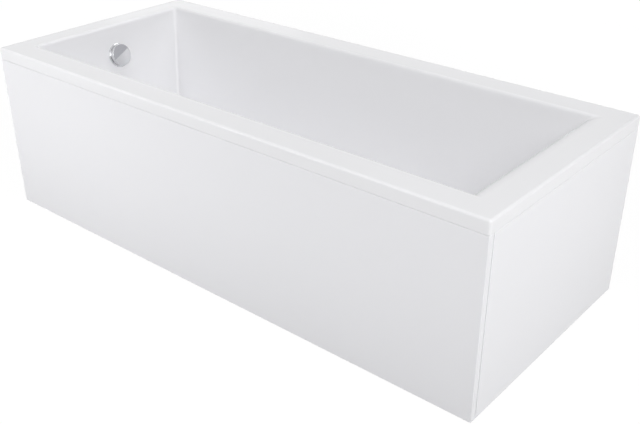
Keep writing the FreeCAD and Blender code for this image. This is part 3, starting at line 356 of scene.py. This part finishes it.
def panel(name, node, is_eased):
    """A board up to the shadow gap, with the edges that show eased."""
    low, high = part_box(node)
    high.z = rim_z - lip_height - shadow_gap
    bm = bmesh.new()
    bmesh.ops.create_cube(bm, size=1.0)
    bmesh.ops.transform(bm, matrix=Matrix.Translation((low + high) / 2)
                        @ Matrix.Diagonal((*(high - low), 1)), verts=bm.verts)
    chosen = [edge for edge in bm.edges
              if is_eased(sum((vert.co for vert in edge.verts), Vector()) / 2, low, high)]
    bmesh.ops.bevel(bm, geom=chosen, offset=arris, offset_type="OFFSET", segments=5, profile=0.5,
                    affect="EDGES", material=-1)
    smooth_by_angle(bm)
    piece = finished(bm, name, lacquer, "bath", "lacquered_board", node)
    weigh = piece.modifiers.new("flat_faces", "WEIGHTED_NORMAL")
    weigh.keep_sharp = True


panel("front_board", "front_panel", lambda middle, low, high: middle.y < low.y + on_the_edge
      or middle.x > high.x - on_the_edge)
panel("end_board", "end_panel", lambda middle, low, high: middle.x > high.x - on_the_edge)
dress(long_timber, "floor_batten_front")
dress(cross_timber, "floor_batten_head")


# ---------------------------------------------------------------- steel angles and wall brackets
# Folded strips of zinc plated steel, 3 mm thick. Five hold the panels to the battens under the rim,
# and three fix the rim to the two walls. Pan-head screws go up through them into the timber.


def zinc_plate(name, base, spread):
    """Zinc plated steel, with the cloudy crystals of the plating."""
    zinc, nodes, links, shader = new_material(name, base, 0.36, 1.0)
    where = nodes.new("ShaderNodeTexCoord")
    spangle = nodes.new("ShaderNodeTexVoronoi")
    spangle.inputs["Scale"].default_value = spread
    links.new(where.outputs["Object"], spangle.inputs["Vector"])
    vary(nodes, links, spangle.outputs["Color"], shader.inputs["Roughness"], 0.28, 0.46)
    vary(nodes, links, noise(nodes, links, 25.0, 5.0), shader.inputs["Base Color"],
         tuple(0.88 * part for part in base), tuple(min(1.08 * part, 1.0) for part in base))
    bump(nodes, links, noise(nodes, links, 700.0, 3.0), shader, 0.00003)
    return zinc


def turned(profile, steps=96):
    """A closed profile of radii and heights spun about Z."""
    bm = bmesh.new()
    points = [bm.verts.new((radius, 0, height)) for radius, height in profile]
    edges = [bm.edges.new(pair) for pair in zip(points, points[1:] + points[:1])]
    bmesh.ops.spin(bm, geom=points + edges, cent=(0, 0, 0), axis=(0, 0, 1), angle=math.tau,
                   steps=steps, use_merge=True)
    bmesh.ops.remove_doubles(bm, verts=bm.verts, dist=1e-6)
    bmesh.ops.recalc_face_normals(bm, faces=bm.faces)
    return bm


def block(size, middle):
    """A closed block of a size about its middle."""
    bm = bmesh.new()
    bmesh.ops.create_cube(bm, size=1.0)
    bmesh.ops.transform(bm, matrix=Matrix.Translation(middle) @ Matrix.Diagonal((*size, 1)),
                        verts=bm.verts)
    return bm


def joined(bm, *others):
    """Add other shapes to a shape."""
    for other in others:
        copy = bpy.data.meshes.new("joined")
        other.to_mesh(copy)
        other.free()
        bm.from_mesh(copy)
        bpy.data.meshes.remove(copy)


def bored(bm, cutter):
    """Cut one closed shape out of another."""
    made = []
    for shape in (bm, cutter):
        mesh = bpy.data.meshes.new("bored")
        shape.to_mesh(mesh)
        made.append(bpy.data.objects.new("bored", mesh))
        scene.collection.objects.link(made[-1])
    work, tool = made
    cut = work.modifiers.new("cut", "BOOLEAN")
    cut.operation, cut.solver, cut.object = "DIFFERENCE", "EXACT", tool
    bpy.context.view_layer.update()
    graph = bpy.context.evaluated_depsgraph_get()
    result = bpy.data.meshes.new_from_object(work.evaluated_get(graph))
    bm.clear()
    bm.from_mesh(result)
    for holder in made:
        bpy.data.objects.remove(holder)
    cutter.free()


def islands(node):
    """The lowest and highest corner of each loose solid of a node, from a merged copy of its mesh."""
    bm = bmesh.new()
    bm.from_mesh(frame["nodes"][node].data)
    bmesh.ops.remove_doubles(bm, verts=bm.verts, dist=1e-6)
    waiting, corners = set(bm.verts), []
    while waiting:
        found = [waiting.pop()]
        for vert in found:
            for edge in vert.link_edges:
                other = edge.other_vert(vert)
                if other in waiting:
                    waiting.remove(other)
                    found.append(other)
        corners.append(tuple([pick(vert.co[axis] for vert in found) for axis in range(3)]
                             for pick in (min, max)))
    bm.free()
    return sorted(corners)


zinc = zinc_plate("zinc_plated_steel", (0.62, 0.64, 0.66), 140.0)
bright_zinc = zinc_plate("bright_zinc", (0.66, 0.67, 0.68), 500.0)
dress(zinc, "panel_angles", "wall_brackets")

head_radius, head_height, shank_radius, shank_length, point_length = 0.005, 0.003, 0.0025, 0.014, 0.003
pan_radius, shoulder_radius, shoulder_height, side_height = 0.0028, 0.0043, 0.0025, 0.0014
screw = turned([(0.0, -head_height), (pan_radius, -head_height), (shoulder_radius, -shoulder_height),
                (head_radius, -side_height), (head_radius, 0.0), (shank_radius, 0.0),
                (shank_radius, shank_length - point_length), (0.0, shank_length)], steps=32)
cross_length, cross_width, cross_depth = 0.0052, 0.0011, 0.0034
bored(screw, block((cross_length, cross_width, cross_depth), (0, 0, -head_height)))
bored(screw, block((cross_width, cross_length, cross_depth), (0, 0, -head_height)))
screw_mesh = bpy.data.meshes.new("wood_screw")
screw.to_mesh(screw_mesh)
screw.free()


def wood_screws(name, node):
    """A pan-head screw with a cross recess at each screw of a node."""
    screws = bmesh.new()
    for low, high in islands(node):
        before = set(screws.verts)
        screws.from_mesh(screw_mesh)
        place = ((low[0] + high[0]) / 2, (low[1] + high[1]) / 2, low[2] + head_height)
        bmesh.ops.translate(screws, vec=place,
                            verts=[vert for vert in screws.verts if vert not in before])
    smooth_by_angle(screws)
    finished(screws, name, bright_zinc, "bath", "screw_steel", node)


wood_screws("angle_screws", "panel_angle_screws")
wood_screws("bracket_screws", "wall_bracket_screws")


# ---------------------------------------------------------------- legs and adjustable feet
# Two pressed steel channels are screwed up into the board. Near each end of a channel a threaded
# rod goes down to a black plastic foot, held by a nut welded on top and a lock nut below.

wood_screws("leg_screws", "channel_screws")
dress(zinc, "leg_channel_foot", "leg_channel_head")
dress(bright_zinc, "weld_nuts", "lock_nuts")

threaded = zinc_plate("threaded_rod", (0.64, 0.65, 0.66), 400.0)
nodes, links = threaded.node_tree.nodes, threaded.node_tree.links
pitch, wave_scale = 0.0015, 20
where = nodes.new("ShaderNodeTexCoord")
turns = nodes.new("ShaderNodeTexWave")
turns.bands_direction = "Z"
turns.wave_profile = "TRI"
turns.inputs["Scale"].default_value = math.tau / (wave_scale * pitch)
links.new(where.outputs["Object"], turns.inputs["Vector"])
bump(nodes, links, turns.outputs["Fac"], nodes["Principled BSDF"], 0.0009)


def moulded(name, base, roughness, pores=260.0):
    """Moulded plastic or rubber with a fine skin."""
    plastic, nodes, links, shader = new_material(name, base, roughness)
    vary(nodes, links, noise(nodes, links, 45.0, 4.0), shader.inputs["Roughness"],
         roughness - 0.07, roughness + 0.07)
    vary(nodes, links, noise(nodes, links, 14.0), shader.inputs["Base Color"],
         tuple(0.92 * part for part in base), tuple(min(1.06 * part, 1.0) for part in base))
    bump(nodes, links, noise(nodes, links, pores, 3.0), shader, 0.00006)
    return plastic


black_plastic = moulded("black_foot_plastic", (0.035, 0.035, 0.037), 0.42)
for end in ("foot", "head"):
    for side in ("front", "back"):
        dress(threaded, "foot_rod_%s_%s" % (side, end))
        dress(black_plastic, "foot_pad_%s_%s" % (side, end))


# ---------------------------------------------------------------- drain flange, plug and tee
# The chromed flange goes down through the floor on a bed of rubber and screws into the grey tee
# below. Its four bars guide the stem of the domed plug, which a lever inside the tee pushes up.

chrome, nodes, links, shader = new_material("polished_chrome", (0.66, 0.665, 0.68), 0.06, 1.0)
vary(nodes, links, noise(nodes, links, 40.0), shader.inputs["Roughness"], 0.05, 0.08)


def eased(bm, radius, height, offset, segments=4):
    """Round the circle of edges at a radius and height of a turned shape."""
    ring = [edge for edge in bm.edges
            if all(abs(math.hypot(vert.co.x, vert.co.y) - radius) < 1e-5
                   and abs(vert.co.z - height) < 1e-5 for vert in edge.verts)]
    bmesh.ops.bevel(bm, geom=ring, offset=offset, offset_type="OFFSET", segments=segments,
                    profile=0.5, affect="EDGES", material=-1)


def spider(inner, outer, bore, bar, low, deep):
    """A hub with a bore, held by four bars."""
    hub = turned([(bore, low), (inner, low), (inner, low + deep), (bore, low + deep)], steps=48)
    worn = 0.0005
    eased(hub, inner, low + deep, worn, 3)
    middle, reach = (inner + outer) / 2 - worn, outer - inner + 2 * worn
    for turn in range(4):
        arm = block((reach, bar, deep), (middle, 0, low + deep / 2))
        along = [edge for edge in arm.edges
                 if abs(edge.verts[0].co.x - edge.verts[1].co.x) > reach / 2]
        bmesh.ops.bevel(arm, geom=along, offset=worn, offset_type="OFFSET", segments=2,
                        profile=0.5, affect="EDGES", material=-1)
        bmesh.ops.rotate(arm, cent=(0, 0, 0), matrix=Matrix.Rotation(math.radians(90) * turn, 3, "Z"),
                         verts=arm.verts)
        joined(hub, arm)
    return hub


flange_low, flange_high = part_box("waste_flange")
flange_radius, flange_thick = 0.035, 0.003
tail_low = flange_low.z - flange_high.z + flange_thick
flange_side, flange_rise = 0.0008, 0.027
tail, flange_bore, seat_bore, seat_z, into_wall = 0.023, 0.0203, 0.0185, -0.0033, 0.0005
stem, bar_width, bar_depth, hub_radius, guide = 0.003, 0.003, 0.004, 0.006, 0.00305
flange = turned([(tail, tail_low), (tail, 0.0), (flange_radius, 0.0), (flange_radius, flange_side),
                 (flange_rise, flange_thick), (flange_bore, flange_thick), (flange_bore, seat_z),
                 (seat_bore, seat_z), (seat_bore, tail_low)], steps=128)
eased(flange, flange_rise, flange_thick, 0.0008)
eased(flange, flange_bore, flange_thick, 0.0004, 3)
eased(flange, flange_radius, flange_side, 0.0003, 3)
joined(flange, spider(hub_radius, seat_bore + into_wall, guide, bar_width, tail_low, bar_depth))
bmesh.ops.translate(flange, vec=(drain.x, 0, flange_high.z - flange_thick), verts=flange.verts)
smooth_by_angle(flange)
finished(flange, "drain_flange", chrome, "bath", "chrome", "waste_flange")

plug_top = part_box("waste_plug")[1].z
plug_radius, skirt, skirt_low, groove = 0.0198, 0.0165, -0.007, 0.014
groove_low, groove_high, seal_lip = -0.005, -0.002, 0.0175
plug_edge, plug_crown = 0.0015, 0.004
dome = [(plug_radius * math.cos(math.radians(turn)),
         plug_edge + (plug_crown - plug_edge) * math.sin(math.radians(turn))) for turn in range(0, 90, 9)]
plug = turned([(0.0, 0.0), (stem, 0.0), (stem, skirt_low), (skirt, skirt_low), (skirt, groove_low),
               (groove, groove_low), (groove, groove_high), (seal_lip, groove_high),
               (plug_radius, 0.0), *dome, (0.0, plug_crown)], steps=128)
bmesh.ops.translate(plug, vec=(drain.x, 0, plug_top - plug_crown), verts=plug.verts)
smooth_by_angle(plug)
finished(plug, "plug_dome", chrome, "plug", "chrome", "waste_plug")

rubber = moulded("black_seal_rubber", (0.03, 0.03, 0.03), 0.72)
grey_plastic = moulded("grey_waste_plastic", (0.30, 0.31, 0.32), 0.45)
dress(rubber, "flange_seal", "waste_gasket", "plug_seal")
dress(grey_plastic, "waste_tee")
dress(bright_zinc, "plug_stem", "lift_lever")


# ---------------------------------------------------------------- trap and outlet
# White plastic: a shallow U-bend hung from the tee by a union nut, and a pipe to the back wall
# held in the trap's socket by a second nut. Both nuts are ribbed for the hand.

white_plastic = moulded("white_waste_plastic", (0.80, 0.80, 0.78), 0.38)
dress(rubber, "trap_washer")
dress(white_plastic, "trap_body", "outlet_pipe")


def gripped(bm, radius, depth, columns=96, period=4):
    """Sink every other strip of a turned wall, to leave ribs for the hand."""
    for vert in bm.verts:
        if math.hypot(vert.co.x, vert.co.y) > radius - 1e-5:
            column = round(math.atan2(vert.co.y, vert.co.x) / (math.tau / columns))
            if column % period < period // 2:
                vert.co.xy *= (radius - depth) / radius


trap_top, rib_height, rib_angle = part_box("trap_nut")[1].z, 0.001, 25
union_radius, union_height, union_bore, union_foot = 0.031, 0.017, 0.0241, 0.0213
union_slope, union_sole = 0.002, 0.003
union = turned([(union_foot, -union_height), (union_radius - union_slope, -union_height),
                (union_radius, union_slope - union_height), (union_radius, -union_slope),
                (union_radius - union_slope, 0.0), (union_bore, 0.0),
                (union_bore, union_sole - union_height), (union_foot, union_sole - union_height)])
gripped(union, union_radius, rib_height)
bmesh.ops.translate(union, vec=(drain.x, 0, trap_top), verts=union.verts)
smooth_by_angle(union, rib_angle)
finished(union, "union_nut", white_plastic, "bath", "white_plastic", "trap_nut")

clamp_low, clamp_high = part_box("outlet_nut")
clamp_radius, clamp_length, socket_bore, pipe_bore = 0.028, clamp_high.y - clamp_low.y, 0.0236, 0.0196
clamp_slope, clamp_wall, clamp_cone = 0.003, 0.004, 0.006
clamp = turned([(socket_bore, 0.0), (clamp_radius, 0.0), (clamp_radius, clamp_length - clamp_slope),
                (clamp_radius - clamp_slope, clamp_length), (pipe_bore, clamp_length),
                (pipe_bore, clamp_length - clamp_wall), (socket_bore, clamp_length - clamp_cone)])
gripped(clamp, clamp_radius, rib_height)
to_the_wall = Matrix.Translation((drain.x, clamp_low.y, (clamp_low.z + clamp_high.z) / 2))
bmesh.ops.transform(clamp, matrix=to_the_wall @ Matrix.Rotation(math.radians(-90), 4, "X"),
                    verts=clamp.verts)
smooth_by_angle(clamp, rib_angle)
finished(clamp, "clamp_nut", white_plastic, "bath", "white_plastic", "outlet_nut")


# ---------------------------------------------------------------- overflow rosette and knob
# A chromed ring lies against the foot wall and screws into the cup behind it. The chromed cap in
# front of it is turned a quarter turn to lift the plug; water runs in behind its edge.

cap_radius, cap_front, cap_back, cap_wall = 0.0335, 0.017, 0.0042, 0.0025
hub, spindle, grub_radius, past = 0.006, 0.003, 0.002, 0.002
cap = turned([(0.0, cap_front), (cap_radius, cap_front), (cap_radius, cap_back),
              (cap_radius - cap_wall, cap_back), (cap_radius - cap_wall, cap_front - cap_wall),
              (hub, cap_front - cap_wall), (hub, cap_back), (spindle, cap_back),
              (spindle, cap_front - 2 * cap_wall), (0.0, cap_front - 2 * cap_wall)], steps=128)
eased(cap, cap_radius, cap_front, 0.0010)
eased(cap, cap_radius, cap_back, 0.0004, 2)
grub_way = turned([(0.0, spindle), (grub_radius, spindle), (grub_radius, cap_radius + past),
                   (0.0, cap_radius + past)], steps=32)
grub_level = (cap_back + cap_front - cap_wall) / 2
bmesh.ops.transform(grub_way, matrix=Matrix.Translation((0, 0, grub_level))
                    @ Matrix.Rotation(math.radians(90), 4, "X"), verts=grub_way.verts)
bored(cap, grub_way)
bmesh.ops.transform(cap, matrix=overflow_frame, verts=cap.verts)
smooth_by_angle(cap)
finished(cap, "knob_cap", chrome, "knob", "chrome", "overflow_knob")

ring_radius, ring_face, ring_thick, ring_side = 0.037, 0.035, 0.003, 0.001
tail_radius, tail_bore, tail_end = 0.023, 0.020, -0.020
ring = turned([(tail_bore, tail_end), (tail_radius, tail_end), (tail_radius, 0.0), (ring_radius, 0.0),
               (ring_radius, ring_side), (ring_face, ring_thick), (tail_bore, ring_thick)], steps=128)
eased(ring, ring_face, ring_thick, 0.0006, 3)
eased(ring, tail_bore, ring_thick, 0.0004, 3)
joined(ring, spider(hub_radius, tail_bore + into_wall, guide, bar_width, tail_end, bar_depth))
bmesh.ops.transform(ring, matrix=overflow_frame, verts=ring.verts)
smooth_by_angle(ring)
finished(ring, "rosette_ring", chrome, "bath", "chrome", "overflow_rosette")


# ---------------------------------------------------------------- overflow cup and drive
# The grey cup is clamped to the back of the foot wall on a rubber ring. The knob's spindle turns
# a nylon pinion in it, which moves a slide that pulls the cable.

nylon = moulded("natural_nylon", (0.78, 0.74, 0.64), 0.45)
dress(grey_plastic, "overflow_body")
dress(rubber, "overflow_gasket")
dress(bright_zinc, "knob_spindle", "knob_grub_screw")
dress(nylon, "knob_pinion", "cable_slide")


# ---------------------------------------------------------------- overflow hose and cable
# A ribbed hose runs down behind the foot end from the cup to the tee, pushed over a spigot at
# each end and held by a ribbed nut. The control cable lies beside it in a smooth black sheath.

hose_plastic = moulded("grey_hose_plastic", (0.50, 0.51, 0.52), 0.5, 120.0)
black_sheath = moulded("black_cable_sheath", (0.05, 0.05, 0.055), 0.3)
dress(black_sheath, "control_cable")

hose_radius, rib_depth, rib_pitch, cuff_sink, hose_wall = 0.015, 0.0014, 0.004, 0.0002, 0.0012
hose_nut_radius, nut_slope, nut_ribs, hose_sides, rib_points = 0.0175, 0.0008, 0.0006, 40, 4
nut_low, nut_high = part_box("hose_nut_lower")
nut_length, spigot_z, hose_end = nut_high.x - nut_low.x, (nut_low.z + nut_high.z) / 2, nut_high.x
across = Vector((0, 1, 0))
down = across.cross(inward)
start_drop, hose_lead, hose_depth, sway_bend, floor_bend = 0.037, 0.045, 0.027, 0.150, 0.060
hose_start = overflow + down * start_drop - inward * hose_depth
fall = hose_start + down * hose_lead


def heading(turn):
    """The hose's direction at a turn from straight down, and the way the turn grows."""
    return Vector((math.sin(turn), 0, -math.cos(turn))), Vector((math.cos(turn), 0, math.sin(turn)))


def straight(line, length, apart):
    """Carry the hose's line straight on."""
    point, turn = line[-1]
    steps = round(length / apart)
    line += [(point + heading(turn)[0] * length * step / steps, turn) for step in range(1, steps + 1)]


def bend(line, radius, last, apart):
    """Carry the hose's line round a bend until it has turned to an angle."""
    point, first = line[-1]
    side = math.copysign(radius, last - first)
    centre = point + heading(first)[1] * side
    steps = round(radius * abs(last - first) / apart)
    turns = [first + (last - first) * step / steps for step in range(1, steps + 1)]
    line += [(centre - heading(turn)[1] * side, turn) for turn in turns]


apart = rib_pitch / rib_points
lean = math.atan2(down.x, -down.z)
sway_reach = sway_bend * math.tan(lean / 2)
hose_line = [(hose_start, lean)]
straight(hose_line, hose_lead - sway_reach, apart)
bend(hose_line, sway_bend, 0.0, apart)
straight(hose_line, fall.z - spigot_z - sway_reach - floor_bend, apart)
bend(hose_line, floor_bend, math.radians(90), apart)
straight(hose_line, hose_end - hose_line[-1][0].x, apart)

hose = bmesh.new()
plain = round(nut_length / apart)
loop = None
for number, (point, turn) in enumerate(hose_line):
    ribbed = plain < number < len(hose_line) - plain
    radius = hose_radius - (rib_depth * (1 - math.cos(math.tau * number / rib_points)) / 2
                            if ribbed else cuff_sink)
    circle = [point + heading(turn)[1] * radius * math.cos(math.tau * step / hose_sides)
              + across * radius * math.sin(math.tau * step / hose_sides) for step in range(hose_sides)]
    loop = grow(hose, loop, circle) if loop else start_loop(hose, circle)
bmesh.ops.recalc_face_normals(hose, faces=hose.faces)
outer = hose.faces[:][0]
if outer.normal.dot(outer.calc_center_median() - hose_start) < 0:
    bmesh.ops.reverse_faces(hose, faces=hose.faces)
smooth_by_angle(hose, degrees=60)
ribbed_hose = finished(hose, "ribbed_hose", hose_plastic, "bath", "hose_plastic", "overflow_hose")
wall = ribbed_hose.modifiers.new("hose_wall", "SOLIDIFY")
wall.thickness, wall.offset = hose_wall, -1

for name, node, place in (("upper_hose_nut", "hose_nut_upper", Matrix.Translation(hose_start)
                           @ down.to_track_quat("Z", "Y").to_matrix().to_4x4()),
                          ("lower_hose_nut", "hose_nut_lower", Matrix.Translation((nut_low.x, 0, spigot_z))
                           @ Matrix.Rotation(math.radians(90), 4, "Y"))):
    nut = turned([(hose_radius, 0.0), (hose_nut_radius - nut_slope, 0.0), (hose_nut_radius, nut_slope),
                  (hose_nut_radius, nut_length - nut_slope), (hose_nut_radius - nut_slope, nut_length),
                  (hose_radius, nut_length)])
    gripped(nut, hose_nut_radius, nut_ribs)
    bmesh.ops.transform(nut, matrix=place, verts=nut.verts)
    smooth_by_angle(nut, rib_angle)
    finished(nut, name, grey_plastic, "bath", "grey_plastic", node)


# ---------------------------------------------------------------- studio
# A white ground and soft light: big softboxes high over the bath and to its right, and long low
# ones below the level of the rim, which light the panels, the underside and the pipes without
# lighting the basin. Two glowing grey cards that only reflections show paint the chrome's darker tones.

ground_size, ground_drop = 12.0, 0.0003
ground = bmesh.new()
bmesh.ops.create_grid(ground, x_segments=1, y_segments=1, size=ground_size,
                      matrix=Matrix.Translation((0, 0, -ground_drop)))
ground_mesh = bpy.data.meshes.new("ground")
ground.to_mesh(ground_mesh)
ground.free()
ground_piece = bpy.data.objects.new("ground", ground_mesh)
scene.collection.objects.link(ground_piece)


def seen_white(nodes, links):
    """1 where the camera, a reflection or glass sees a surface, and 0 for the light it gives."""
    path = nodes.new("ShaderNodeLightPath")
    total = path.outputs["Is Camera Ray"]
    for kind in ("Is Glossy Ray", "Is Transmission Ray"):
        largest = nodes.new("ShaderNodeMath")
        largest.operation = "MAXIMUM"
        links.new(total, largest.inputs[0])
        links.new(path.outputs[kind], largest.inputs[1])
        total = largest.outputs["Value"]
    return total


shadow_reach, shadow_end, shadow_white = 3.0, 0.5, 0.93
ground_lit, ground_seen, ground_glow = (0.35, 0.35, 0.35), (1.0, 1.0, 1.0), 1.01
room_lit, room_seen = 0.2, 1.0
paper = bpy.data.materials.new("white_ground")
paper.use_nodes = True
nodes, links = paper.node_tree.nodes, paper.node_tree.links
shader = nodes["Principled BSDF"]
shader.inputs["Roughness"].default_value = 0.9
glow = nodes.new("ShaderNodeEmission")
glow.inputs["Strength"].default_value = ground_glow
seen = seen_white(nodes, links)
vary(nodes, links, seen, shader.inputs["Base Color"], ground_lit, ground_seen)
where = nodes.new("ShaderNodeTexCoord")
around = nodes.new("ShaderNodeMapping")
around.inputs["Scale"].default_value = (1 / shadow_reach, 1 / shadow_reach, 1)
near = nodes.new("ShaderNodeTexGradient")
near.gradient_type = "SPHERICAL"
links.new(where.outputs["Object"], around.inputs["Vector"])
links.new(around.outputs["Vector"], near.inputs["Vector"])
fade = nodes.new("ShaderNodeMapRange")
fade.inputs["From Max"].default_value = shadow_end
fade.inputs["To Min"].default_value = 1.0
fade.inputs["To Max"].default_value = shadow_white
links.new(near.outputs["Fac"], fade.inputs["Value"])
share = nodes.new("ShaderNodeMath")
share.operation = "MULTIPLY"
links.new(fade.outputs["Result"], share.inputs[0])
links.new(seen, share.inputs[1])
blend = nodes.new("ShaderNodeMixShader")
links.new(share.outputs["Value"], blend.inputs["Fac"])
links.new(shader.outputs["BSDF"], blend.inputs[1])
links.new(glow.outputs["Emission"], blend.inputs[2])
links.new(blend.outputs["Shader"], nodes["Material Output"].inputs["Surface"])
ground_mesh.materials.append(paper)

world = bpy.data.worlds.new("studio")
scene.world = world
world.use_nodes = True
nodes, links = world.node_tree.nodes, world.node_tree.links
room = nodes["Background"]
room.inputs["Color"].default_value = (1, 1, 1, 1)
vary(nodes, links, seen_white(nodes, links), room.inputs["Strength"], room_lit, room_seen)


def softbox(name, place, target, width, height, power):
    """A soft lamp at a place, turned to a target; sizes in metres, power in watts."""
    light = bpy.data.lights.new(name, "AREA")
    light.shape = "RECTANGLE"
    light.size, light.size_y, light.energy = width, height, power
    lamp = bpy.data.objects.new(name, light)
    scene.collection.objects.link(lamp)
    lamp.location = place
    lamp.rotation_euler = (Vector(target) - Vector(place)).to_track_quat("-Z", "Y").to_euler()
    lamp.visible_camera = False
    return lamp


over_the_foot = softbox("over_the_foot", (-1.0, 0, 2.4), (-0.9, 0, 0), 1.4, 1.4, 13.3)
over_the_foot.visible_glossy = False
softbox("over_the_back", (0, 1.5, 2.6), (0, 0, 0.4), 2.4, 1.2, 12.6)
softbox("high_front_left", (-1.5, -2.3, 2.5), (0, 0, 0.3), 1.6, 1.6, 12.6)
softbox("high_front_right", (2.4, -2.0, 2.6), (0, 0, 0.3), 1.6, 1.6, 41)
softbox("high_right", (2.6, 0.3, 2.3), (0, 0, 0.4), 1.8, 1.4, 15.5)
softbox("right", (3.2, -0.4, 1.1), (0.8, 0, 0.4), 2.4, 1.8, 7.2)
softbox("behind_the_foot", (-2.7, 2.2, 1.15), (-0.8, 0.3, 0.5), 1.2, 0.7, 0.7)
softbox("strip_left", (-1.0, -1.25, 0.44), (-1.0, -0.35, 0.40), 1.6, 0.10, 5.5)
softbox("strip_right", (0.6, -1.25, 0.44), (0.6, -0.35, 0.40), 1.6, 0.10, 2.9)
softbox("strip_at_the_head", (1.85, 0, 0.43), (0.8, 0, 0.40), 1.4, 0.12, 3.1)
softbox("low_back", (0.2, 2.6, 0.22), (0, 0.3, 0.22), 2.4, 0.40, 18)
softbox("low_foot", (-3.0, 0, 0.22), (-0.8, 0, 0.22), 1.2, 0.40, 13)


def glowing_reflection_card(name, place, width, height, tone):
    """A grey glowing card turned to the overflow knob, seen only as a painted reflection in chrome."""
    card = bmesh.new()
    bmesh.ops.create_grid(card, x_segments=1, y_segments=1, size=0.5)
    toward = (overflow - Vector(place)).to_track_quat("Z", "Y").to_matrix().to_4x4()
    bmesh.ops.transform(card, matrix=Matrix.Translation(place) @ toward
                        @ Matrix.Diagonal((width, height, 1, 1)), verts=card.verts)
    card_mesh = bpy.data.meshes.new(name)
    card.to_mesh(card_mesh)
    card.free()
    card_piece = bpy.data.objects.new(name, card_mesh)
    scene.collection.objects.link(card_piece)
    for ray in ("camera", "diffuse", "transmission", "shadow", "volume_scatter"):
        setattr(card_piece, "visible_" + ray, False)
    grey = bpy.data.materials.new(name)
    grey.use_nodes = True
    nodes, links = grey.node_tree.nodes, grey.node_tree.links
    glow = nodes.new("ShaderNodeEmission")
    glow.inputs["Color"].default_value = tone
    links.new(glow.outputs["Emission"], nodes["Material Output"].inputs["Surface"])
    card_mesh.materials.append(grey)


# Glowing grey sheets, seen only in reflections, paint darker reflections into the chrome knob.
glowing_reflection_card("card_at_the_back", (0.9, 1.25, 0.95), 2.0, 0.85, (0.60, 0.60, 0.63, 1))
glowing_reflection_card("card_over_the_foot", (-0.55, -0.35, 1.6), 1.6, 1.4, (0.72, 0.72, 0.74, 1))

looking_down, swung_left = 29.125, 39.92
camera_data = bpy.data.cameras.new("camera")
camera_data.sensor_width, camera_data.lens = 36.0, 50.79
camera_data.shift_x, camera_data.shift_y = -0.0046, 0.02645
camera_data.clip_end = 50
camera = bpy.data.objects.new("camera", camera_data)
scene.collection.objects.link(camera)
camera.location = (1.545, -1.7085, 1.3207)
camera.rotation_euler = (math.radians(90 - looking_down), 0, math.radians(swung_left))
scene.camera = camera
scene.view_settings.view_transform = "Standard"
